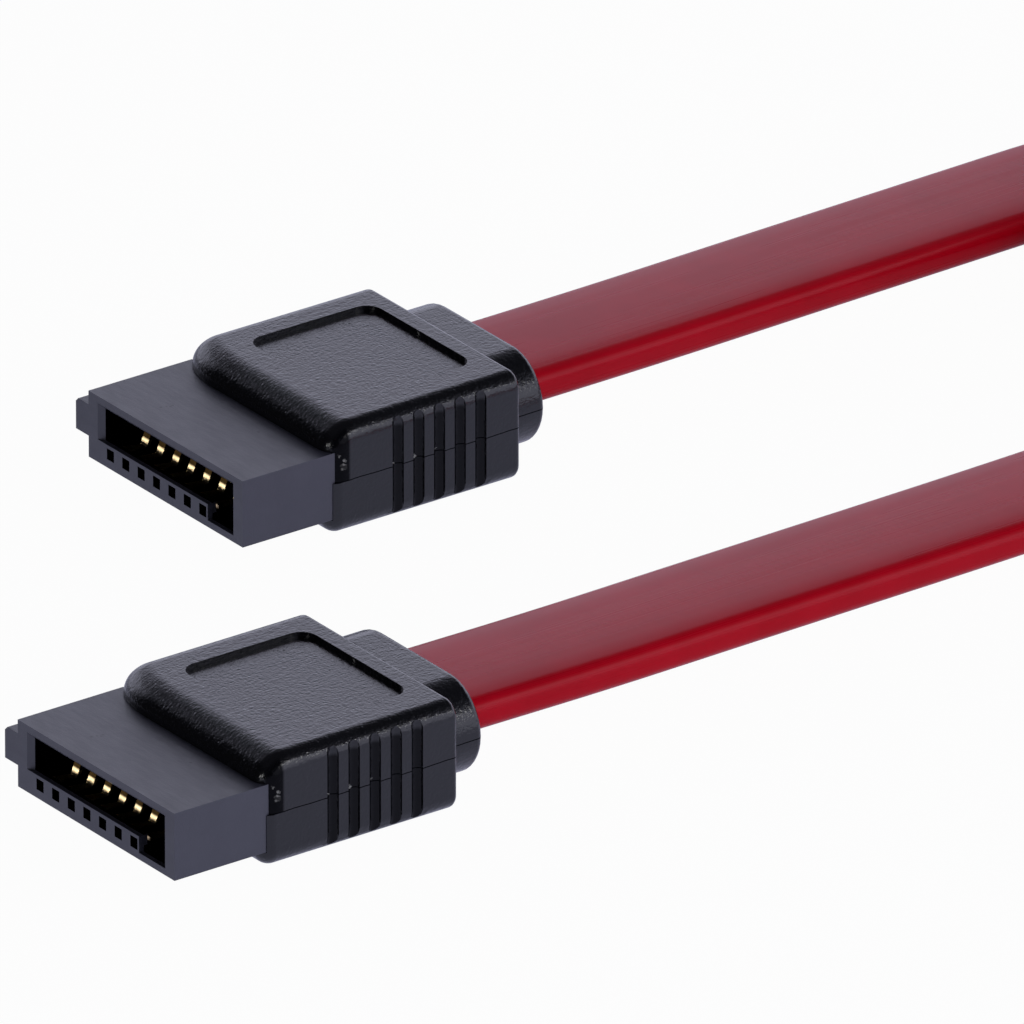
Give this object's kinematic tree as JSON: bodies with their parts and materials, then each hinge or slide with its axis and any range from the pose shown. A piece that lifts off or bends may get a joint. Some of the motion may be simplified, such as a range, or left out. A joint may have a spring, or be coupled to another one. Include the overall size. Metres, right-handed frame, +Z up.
{
  "type": "data cable",
  "caption": "Flat data cable with a straight keyed plug moulded on each end, its slack folded into a tied hank.",
  "frame": {"origin": "middle of the footprint of the two plugs, on the surface that they lie on", "axes": "-Y is the way both mating faces look, the cable leaves the plugs to +Y, and +Z is up"},
  "size_m": [0.042, 0.167, 0.0098],
  "materials": {
    "housing": "matte",
    "overmould": "satin",
    "contact": "gold plated",
    "wire_block": "matte",
    "signal_wire": "satin",
    "drain_wire": "tinned",
    "cable": "satin",
    "tie": "matte"
  },
  "bodies": {
    "root": {"housing_a": "housing", "overmould_a": "overmould", "wire_block_a": "wire_block", "contact_a1": "contact", "drain_wire_a1": "drain_wire", "contact_a2": "contact", "signal_wire_a2": "signal_wire", "contact_a3": "contact", "signal_wire_a3": "signal_wire", "contact_a4": "contact", "drain_wire_a4": "drain_wire", "contact_a5": "contact", "signal_wire_a5": "signal_wire", "contact_a6": "contact", "signal_wire_a6": "signal_wire", "contact_a7": "contact", "drain_wire_a7": "drain_wire", "housing_b": "housing", "overmould_b": "overmould", "wire_block_b": "wire_block", "contact_b1": "contact", "drain_wire_b1": "drain_wire", "contact_b2": "contact", "signal_wire_b2": "signal_wire", "contact_b3": "contact", "signal_wire_b3": "signal_wire", "contact_b4": "contact", "drain_wire_b4": "drain_wire", "contact_b5": "contact", "signal_wire_b5": "signal_wire", "contact_b6": "contact", "signal_wire_b6": "signal_wire", "contact_b7": "contact", "drain_wire_b7": "drain_wire", "cable_lead_a": "cable", "cable_lead_b": "cable", "cable_hank": "cable", "hank_tie": "tie"}
  },
  "joints": []
}
